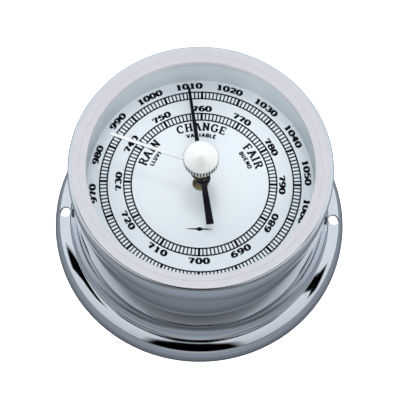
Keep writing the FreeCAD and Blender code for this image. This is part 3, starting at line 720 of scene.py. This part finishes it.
def pen(bm, points, thin, thick, place):
    """One stroke of a broad pen: upright stretches are thick and level ones thin."""
    closed = math.dist(points[0], points[-1]) < 1e-6
    if closed:
        points = points[:-1]
    count = len(points)
    pairs = []
    for k, (x, y) in enumerate(points):
        if closed:
            before, after = points[k - 1], points[(k + 1) % count]
        else:
            before, after = points[max(k - 1, 0)], points[min(k + 1, count - 1)]
        dx, dy = after[0] - before[0], after[1] - before[1]
        length = math.hypot(dx, dy)
        half = (thin + (thick - thin) * abs(dy) / length) / 2
        nx, ny = -dy / length * half, dx / length * half
        edges = [place(x + side * nx, y + side * ny) for side in (1, -1)]
        pairs.append([bm.verts.new((*edge, DIAL_TOP + INK)) for edge in edges])
    if closed:
        pairs.append(pairs[0])
    for (a, b), (c, d) in zip(pairs, pairs[1:]):
        bm.faces.new((b, d, c, a))


def on_dial(clock):
    """Angle in radians, counter-clockwise from +X, of a clock angle in degrees on the printed dial."""
    return math.radians(90 - clock) + PRINT_TURN


def text_on_arc(bm, text, clock, radius, height, gap=0.1, thin=0.1, thick=0.2, wide=1.0, serifs=True,
                inward=False):
    """Sets text round the dial's centre, between radius and radius + height, upside down where inward."""
    widths = [GLYPHS[letter][0] * height * wide for letter in text]
    middle = radius + height / 2
    spacing_r = radius - height / 2 if inward else middle
    side = -1 if inward else 1
    along = -(sum(widths) + gap * height * (len(text) - 1)) / 2
    for letter, width in zip(text, widths):
        a = on_dial(clock) - side * (along + width / 2) / spacing_r
        _, bones, ends = GLYPHS[letter]

        def place(u, v, a=a, width=width):
            across = u * height * wide - width / 2
            rise = (v - 0.5) * height
            return turn((middle + side * rise, -side * across), a)

        for mark in bones:
            pen(bm, stroke(*mark), thin, thick, place)
        for mark in ends if serifs else ():
            pen(bm, stroke(*mark), thin, thin, place)
        along += width + gap * height


def ring_line(bm, radius, width, count=360):
    inner = [turn((radius - width / 2, 0), 2 * math.pi * k / count) for k in range(count)]
    outer = [turn((radius + width / 2, 0), 2 * math.pi * k / count) for k in range(count)]
    inner = [bm.verts.new((*p, DIAL_TOP + INK)) for p in inner]
    outer = [bm.verts.new((*p, DIAL_TOP + INK)) for p in outer]
    for k in range(count):
        n = (k + 1) % count
        bm.faces.new((inner[k], outer[k], outer[n], inner[n]))


def ticks(bm, inner, outer, count, every, width, bold):
    """Radial marks from inner to outer radius, each every-th one bold."""
    for k in range(count):
        half = (width if k % every else bold) / 2
        a = on_dial(360 * k / count)
        corners = [(inner, -half), (outer, -half), (outer, half), (inner, half)]
        bm.faces.new([bm.verts.new((*turn(p, a), DIAL_TOP + INK)) for p in corners])


def printed(name, bm):
    obj = finished(name, bm)
    body = obj.modifiers.new("ink", "SOLIDIFY")
    body.thickness = INK * MM * 0.9
    body.offset = -1
    piece(applied(obj), "case", "black_lacquer")


HPA_RING = (28.64, 30.93)
MMHG_RING = (21.23, 23.53)
HPA_MARKS = 160
MMHG_MARKS = 120


def dial_scales():
    bm = bmesh.new()
    for radius in (*HPA_RING, *MMHG_RING):
        ring_line(bm, radius, 0.45)
    ticks(bm, *HPA_RING, HPA_MARKS, 10, 0.42, 0.76)
    ticks(bm, *MMHG_RING, MMHG_MARKS, 10, 0.42, 0.76)
    printed("dial_scales", bm)


def dial_numbers():
    """Hectopascals outside, 22.5 degrees for each ten, and millimetres of mercury inside, 30 degrees."""
    bm = bmesh.new()
    for k in range(10):
        value = 970 + 10 * k
        text_on_arc(bm, str(value), -97.3 + 22.5 * k, 32.2, 1.85, 0.1, 0.2, 0.43, wide=1.15)
    for k in range(12):
        value = 760 + 10 * k if k < 4 else 680 + 10 * (k - 4)
        inward = 680 <= value <= 720
        text_on_arc(bm, str(value), 30 * k, 24.3, 1.85, 0.1, 0.2, 0.43, inward=inward, wide=1.12)
    printed("dial_numbers", bm)


def dial_words():
    bm = bmesh.new()
    words = (("RAIN", "LLUVIA", -58.5), ("CHANGE", "VARIABLE", 0.0), ("FAIR", "BUENO", 60.0))
    for word, under, clock in words:
        text_on_arc(bm, word, clock, 17.7, 2.6, 0.12, 0.15, 0.27, wide=0.93)
        text_on_arc(bm, under, clock, 15.5, 1.25, 0.1, 0.3, 0.36, serifs=False, wide=1.0)
    printed("dial_words", bm)


def dial_ornament():
    """A swelled rule with a lozenge in its middle, over 6 o'clock."""
    bm = bmesh.new()
    half, rise, y = 4.4, 0.26, -15.0
    top = [(half * (k / 12 - 1), rise * (1 - (k / 12 - 1) ** 2)) for k in range(25)]
    rule = top + [(x, -v) for x, v in top[-2:0:-1]]
    lozenge = [(-1.6, 0), (0, 0.7), (1.6, 0), (0, -0.7)]
    for outline in (rule, lozenge):
        lift = INK * (1 if outline is rule else 1.05)
        points = [turn((x, y + v), PRINT_TURN) for x, v in outline]
        bm.faces.new([bm.verts.new((*p, DIAL_TOP + lift)) for p in points[::-1]])
    printed("dial_ornament", bm)


# ---- pointer, set hand and knob --------------------------------------------------------------------

def pointer():
    """Black pointer with a counterweight tail and a domed hub."""
    thick = 0.3
    blade_low = POINTER_LOW + 0.6
    tip_r, tail_r, hub_r, bush_r = 31.1, 15.1, 2.3, 1.2
    side = [(-tail_r, 1.15), (0, 0.8), (tip_r - 0.6, 0.42), (tip_r, 0.1)]
    outline = [(x, -y) for x, y in side] + side[::-1]
    bm = bmesh.new()
    slab(bm, [turn(p, POINTER_ANGLE, (POINTER_X, 0)) for p in outline], blade_low, blade_low + thick)
    blade = softened(finished("pointer_blade", bm), 0.06)
    piece(blade, "pointer", "black_lacquer", "pointer_hand")
    profile = [
        (bush_r, POINTER_LOW),
        (hub_r - 0.2, POINTER_LOW),
        (hub_r, POINTER_LOW + 0.2),
        *arc((hub_r - 0.45, POINTER_TOP - 0.45), 0.45, 0, 90, 6),
        (bush_r, POINTER_TOP),
    ]
    hub = turned("pointer_hub", profile, steps=96, centre=(POINTER_X, 0))
    piece(hub, "pointer", "black_lacquer", "pointer_hand")


def pointer_bush():
    foot, top = low("pointer_bush").z, high("pointer_bush").z
    r, bore, edge = 1.2, 0.75, 0.12
    profile = [(bore, foot), (r, foot), (r, top - edge), (r - edge, top), (bore, top)]
    bush = turned("brass_bush", profile, steps=96, centre=(POINTER_X, 0))
    piece(bush, "pointer", "brass", "pointer_bush")


def set_hand():
    half, tip_r, boss_r, corner = 0.52, 29.0, 2.6, 0.2
    start = math.asin(half / boss_r)
    boss = [turn((boss_r, 0), start + (2 * math.pi - 2 * start) * k / 48) for k in range(49)]
    end = [(tip_r, half - corner), (tip_r - corner, half)]
    outline = [*boss, *[(x, -y) for x, y in end[::-1]], *end]
    bm = bmesh.new()
    slab(bm, [turn(p, HAND_ANGLE) for p in outline], HAND_LOW, HAND_TOP)
    hand = softened(finished("reference_hand", bm), 0.08, 3)
    piece(hand, "set_hand", "nickel", "set_hand", finish=HAND_FINISH)


def knob():
    """Turned knob: a shallow cone over a straight-knurled rim, with a bright bevel between them."""
    teeth, depth = 36, 0.4
    face_z = KNOB_APEX - 0.9
    core_r = KNOB_R - 0.5
    rim_foot, rim_top = KNOB_RIM_Z + 0.15, face_z - 0.3
    profile = [
        (0, KNOB_RIM_Z + 1.6),
        (SPINDLE_R, KNOB_RIM_Z + 1.6),
        (SPINDLE_R, KNOB_FOOT),
        (KNOB_NECK_R, KNOB_FOOT),
        (KNOB_NECK_R, KNOB_RIM_Z),
        (core_r - 0.2, KNOB_RIM_Z),
        (core_r, KNOB_RIM_Z + 0.2),
        (core_r, face_z - 0.35),
        *arc((KNOB_FACE_R - 0.1, face_z - 0.2), 0.25, -40, 80, 8),
        *bow((KNOB_FACE_R - 0.3, face_z + 0.06), (0, KNOB_APEX), 0.0, 10)[:-1],
        (0.05, KNOB_APEX - 0.004),
        (0, KNOB_APEX),
    ]
    piece(turned("turned_knob", profile, 30.0), "set_hand", "nickel", "set_knob")

    def knurl(r, z, a):
        if r > KNOB_R - 0.01:
            return r - depth * (1 - abs(math.sin(a * teeth / 2))) ** 0.8
        return r

    band = [
        (core_r - 0.1, rim_foot),
        (KNOB_R - depth - 0.02, rim_foot),
        (KNOB_R, rim_foot + 0.3),
        (KNOB_R, rim_top - 0.1),
        (KNOB_R - 0.1, rim_top),
        (core_r - 0.1, rim_top),
    ]
    rim = turned("knurled_rim", band, 30.0, steps=teeth * 12, knurl=knurl)
    piece(rim, "set_hand", "nickel", "set_knob", finish=KNURL_FINISH)


# ---- springs of the movement -----------------------------------------------------------------------

def mainspring():
    """Tapered flat leaf, clamped at its back edge, with close rows just in front of the clamp, ready for a bend.
    """
    foot, top = low("mainspring"), high("mainspring")
    root_half = (top.x - foot.x) / 2
    end_half = 0.6 * root_half
    clamp_y = low("spring_clamp").y
    clamp_mid = (clamp_y + top.y) / 2
    columns, bend = 12, 3.0
    rows = [top.y - (top.y - clamp_y) * k / 4 for k in range(5)]
    rows += [clamp_y - bend * k / 12 for k in range(1, 13)]
    rows += [clamp_y - bend - (clamp_y - bend - foot.y) * k / 20 for k in range(1, 21)]
    bm = bmesh.new()
    sheets = []
    for z in (foot.z, top.z):
        sheet = []
        for y in rows:
            share = min(1.0, (clamp_y - y) / (clamp_y - foot.y)) if y < clamp_y else 0.0
            half = root_half + (end_half - root_half) * share
            across = [half * (2 * k / columns - 1) for k in range(columns + 1)]
            sheet.append([bm.verts.new((POINTER_X + x, y, z)) for x in across])
        for near, far in zip(sheet, sheet[1:]):
            for k in range(columns):
                bm.faces.new((near[k], near[k + 1], far[k + 1], far[k]))
        sheets.append(sheet)
    under, over = sheets
    edges = [[row[0] for row in under], [row[-1] for row in under], under[0], under[-1]]
    facing = [[row[0] for row in over], [row[-1] for row in over], over[0], over[-1]]
    for below, above in zip(edges, facing):
        for k in range(len(below) - 1):
            bm.faces.new((below[k], below[k + 1], above[k + 1], above[k]))
    leaf = finished("leaf_spring", bm)

    holes = ((1.7, 0, 0), (0.7, 0, -5.5), (0.8, -4, clamp_mid), (0.8, 4, clamp_mid))
    drilled(leaf, [(radius, POINTER_X + x, y) for radius, x, y in holes], foot.z - 1, top.z + 1, 32)
    bending(leaf, "spring_steel", "mainspring")


def capsule():
    """Upper half of the aneroid capsule: a corrugated disc on a soft conical skirt."""
    rim_r = (high("capsule_upper").x - low("capsule_upper").x) / 2
    mid = low("capsule_upper").z
    sheet, flat_r, wave_end, waves, swing = 0.3, 3.5, 15.0, 8, 0.35
    under = low("capsule_post").z - sheet
    wave = []
    for k in range(10 * waves + 1):
        t = k / (10 * waves)
        wave.append((flat_r + (wave_end - flat_r) * t, swing * math.sin(math.pi * waves * t)))
    profile = [
        (0, under + sheet),
        *[(r, under + sheet - rise) for r, rise in wave],
        (wave_end + 0.6, mid + sheet),
        (rim_r, mid + sheet),
        (rim_r, mid),
        (wave_end + 0.3, mid),
        *[(r, under - rise) for r, rise in wave[::-1]],
        (0, under),
    ]
    disc = turned("corrugated_disc", profile, 40.0, steps=180, centre=(POINTER_X, 0))
    bending(disc, "nickel_silver", "capsule_upper")


# ---- studio ----------------------------------------------------------------------------------------

def table_white():
    mat = bpy.data.materials.new("table_white")
    mat.use_nodes = True
    bsdf = mat.node_tree.nodes["Principled BSDF"]
    bsdf.inputs["Base Color"].default_value = (1, 1, 1, 1)
    bsdf.inputs["Roughness"].default_value = 1.0
    bsdf.inputs["Specular IOR Level"].default_value = 0.0
    bsdf.inputs["Emission Color"].default_value = (1, 1, 1, 1)
    bsdf.inputs["Emission Strength"].default_value = 1.0
    return mat


def table(name, height, material, seen_by):
    """A large square of the table's top that only the named kinds of ray see."""
    half = 3000
    bm = bmesh.new()
    bm.faces.new([bm.verts.new((x * half, y * half, 0)) for x, y in ((-1, -1), (1, -1), (1, 1), (-1, 1))])
    obj = finished(name, bm)
    obj.data.materials.append(material)
    obj.location.z = height * MM
    for ray in ("camera", "diffuse", "glossy", "transmission", "shadow"):
        setattr(obj, f"visible_{ray}", ray in seen_by)


def flag(name, corners, soft):
    """A black card over the object, which only reflections see. Its corners are the x and y of the directions
    in which the object sees them, and soft is how far its edge fades out, as a share of its size."""
    distance = 2.0
    mid = Vector((sum(x for x, _ in corners), sum(y for _, y in corners))) / len(corners)
    mat = bpy.data.materials.new(name)
    mat.use_nodes = True
    nodes, links = mat.node_tree.nodes, mat.node_tree.links
    nodes.remove(nodes["Principled BSDF"])
    cover = nodes.new("ShaderNodeAttribute")
    cover.attribute_name = "cover"
    black = nodes.new("ShaderNodeEmission")
    black.inputs["Color"].default_value = (0, 0, 0, 1)
    clear = nodes.new("ShaderNodeBsdfTransparent")
    mix = nodes.new("ShaderNodeMixShader")
    links.new(cover.outputs["Fac"], mix.inputs["Fac"])
    links.new(clear.outputs[0], mix.inputs[1])
    links.new(black.outputs[0], mix.inputs[2])
    links.new(mix.outputs[0], nodes["Material Output"].inputs["Surface"])

    bm = bmesh.new()
    layer = bm.verts.layers.float.new("cover")

    def ring(size, amount):
        verts = []
        for corner in corners:
            x, y = mid + (Vector(corner) - mid) * size
            vert = bm.verts.new(Vector((x, y, math.sqrt(1 - x * x - y * y))) * distance / MM)
            vert[layer] = amount
            verts.append(vert)
        return verts

    inner, outer = ring(1 - soft / 2, 1.0), ring(1 + soft / 2, 0.0)
    bm.faces.new(inner)
    for k in range(len(corners)):
        n = (k + 1) % len(corners)
        bm.faces.new((inner[k], inner[n], outer[n], outer[k]))
    obj = finished(name, bm)
    obj.data.materials.append(mat)
    only_reflected(obj)


def only_reflected(obj):
    for ray in ("camera", "diffuse", "transmission", "volume_scatter", "shadow"):
        setattr(obj, f"visible_{ray}", False)


def levels(nodes, stops):
    """A grey ramp from (position, level) stops."""
    ramp = nodes.new("ShaderNodeValToRGB")
    elements = ramp.color_ramp.elements
    while len(elements) < len(stops):
        elements.new(0.5)
    for element, (position, level) in zip(elements, stops):
        element.position = position
        element.color = (level, level, level, 1)
    return ramp


def table_reflection():
    """The table as the chrome sees it: a glowing sheet with a painted shadow of the object, darker close to it."""
    mat = bpy.data.materials.new("table_in_reflections_painted_shadow")
    mat.use_nodes = True
    nodes, links = mat.node_tree.nodes, mat.node_tree.links
    nodes.remove(nodes["Principled BSDF"])
    place = nodes.new("ShaderNodeTexCoord")
    reach = nodes.new("ShaderNodeVectorMath")
    reach.operation = "LENGTH"
    links.new(place.outputs["Object"], reach.inputs[0])
    share = nodes.new("ShaderNodeMapRange")
    share.inputs["From Min"].default_value = FLANGE_R * MM
    share.inputs["From Max"].default_value = 2 * FLANGE_R * MM
    links.new(reach.outputs["Value"], share.inputs["Value"])
    # Painted shadow: the glow is dimmest next to the flange and rises outwards.
    ramp = levels(nodes, ((0.0, 0.11), (0.05, 0.22), (0.1, 0.25), (0.2, 0.36), (0.4, 0.3), (1.0, 0.4)))
    links.new(share.outputs["Result"], ramp.inputs["Fac"])
    glow = nodes.new("ShaderNodeEmission")
    glow.inputs["Color"].default_value = (0.89, 0.99, 1.13, 1)
    links.new(ramp.outputs["Color"], glow.inputs["Strength"])
    links.new(glow.outputs[0], nodes["Material Output"].inputs["Surface"])
    return mat


def sky():
    """White tent, open on the photographer's side: bright above and behind, dim in front."""
    world = bpy.data.worlds.new("tent")
    bpy.context.scene.world = world
    world.use_nodes = True
    nodes, links = world.node_tree.nodes, world.node_tree.links
    background = nodes["Background"]
    background.inputs["Color"].default_value = (0.92, 0.97, 1.02, 1)
    place = nodes.new("ShaderNodeTexCoord")
    split = nodes.new("ShaderNodeSeparateXYZ")
    links.new(place.outputs["Generated"], split.inputs[0])
    share = nodes.new("ShaderNodeMapRange")
    share.inputs["From Min"].default_value = -1
    links.new(split.outputs["Y"], share.inputs["Value"])
    ramp = levels(nodes, ((0.0, 0.5), (0.05, 0.25), (0.14, 0.16), (0.28, 0.32), (0.36, 0.6), (0.46, 0.8),
                          (0.62, 0.97), (1.0, 1.0)))
    links.new(share.outputs["Result"], ramp.inputs["Fac"])
    links.new(ramp.outputs["Color"], background.inputs["Strength"])


def lamp(name, way, size, energy):
    """A square softbox that lights the object without showing in its reflections."""
    light = bpy.data.lights.new(name, "AREA")
    light.shape = "SQUARE"
    light.size = size
    light.energy = energy
    obj = bpy.data.objects.new(name, light)
    way = Vector(way).normalized()
    obj.location = way * 1.2
    obj.rotation_mode = "QUATERNION"
    obj.rotation_quaternion = way.to_track_quat("Z", "Y")
    obj.visible_glossy = False
    bpy.context.scene.collection.objects.link(obj)


FLAGS = {
    "flag_camera": (0.35, [(-0.06, -0.05), (0.04, -0.05), (0.14, -0.13), (0.27, -0.38), (-0.3, -0.38),
                           (-0.16, -0.13)]),
    "flag_above": (0.12, [(-0.06, -0.03), (0.04, -0.03), (0.2, 0.07), (0.2, 0.48), (-0.2, 0.48),
                          (-0.2, 0.07)]),
    "flag_left": (0.25, [(-0.5, 0.11), (-0.37, 0.11), (-0.32, 0.05), (-0.27, 0.05), (-0.27, 0.23),
                         (-0.5, 0.215)]),
    "flag_right": (0.25, [(0.25, 0.16), (0.4, 0.08), (0.43, 0.02), (0.49, 0.04), (0.49, 0.17), (0.38, 0.175),
                          (0.27, 0.21)]),
}


def studio():
    """White table, black cards for the chrome to reflect, soft lamps and a white tent."""
    table("table", -0.4, table_white(), ("camera", "diffuse", "transmission"))
    # A glowing copy of the table with a painted shadow, seen only in reflections.
    table("table_gloss", -0.2, table_reflection(), ("glossy",))
    for name, (soft, corners) in FLAGS.items():
        flag(name, corners, soft)
    lamp("softbox", (0.0, 0.25, 0.97), 0.2, 2.0)
    lamp("overhead", (0.0, 0.1, 1.0), 1.6, 3.2)
    lamp("fill", (0.0, -1.0, 0.5), 0.8, 11.0)
    sky()


def camera():
    """The photographer's view: from the front and above, with a slight roll."""
    data = bpy.data.cameras.new("camera")
    data.sensor_width = 36.0
    data.lens = 119.65
    data.shift_x = -0.00125
    data.shift_y = 0.00125
    data.clip_start = 0.01
    cam = bpy.data.objects.new("camera", data)
    bpy.context.scene.collection.objects.link(cam)
    bpy.context.scene.camera = cam
    reach, rise = 0.40843, math.radians(68.14)
    tilt, roll = math.radians(90 - 68.89), math.radians(1.70)
    place = Vector((0.0002, -reach * math.cos(rise), DIAL_TOP * MM + reach * math.sin(rise)))
    aim = Matrix.Rotation(tilt, 4, "X") @ Matrix.Rotation(roll, 4, "Z")
    cam.matrix_world = Matrix.Translation(place) @ aim


repaint_nodes()
case_shell()
bezel()
glass()
spacer()
dial()
dial_scales()
dial_numbers()
dial_words()
dial_ornament()
pointer()
pointer_bush()
set_hand()
knob()
mainspring()
capsule()
studio()
camera()
bpy.context.scene.view_settings.view_transform = "Standard"
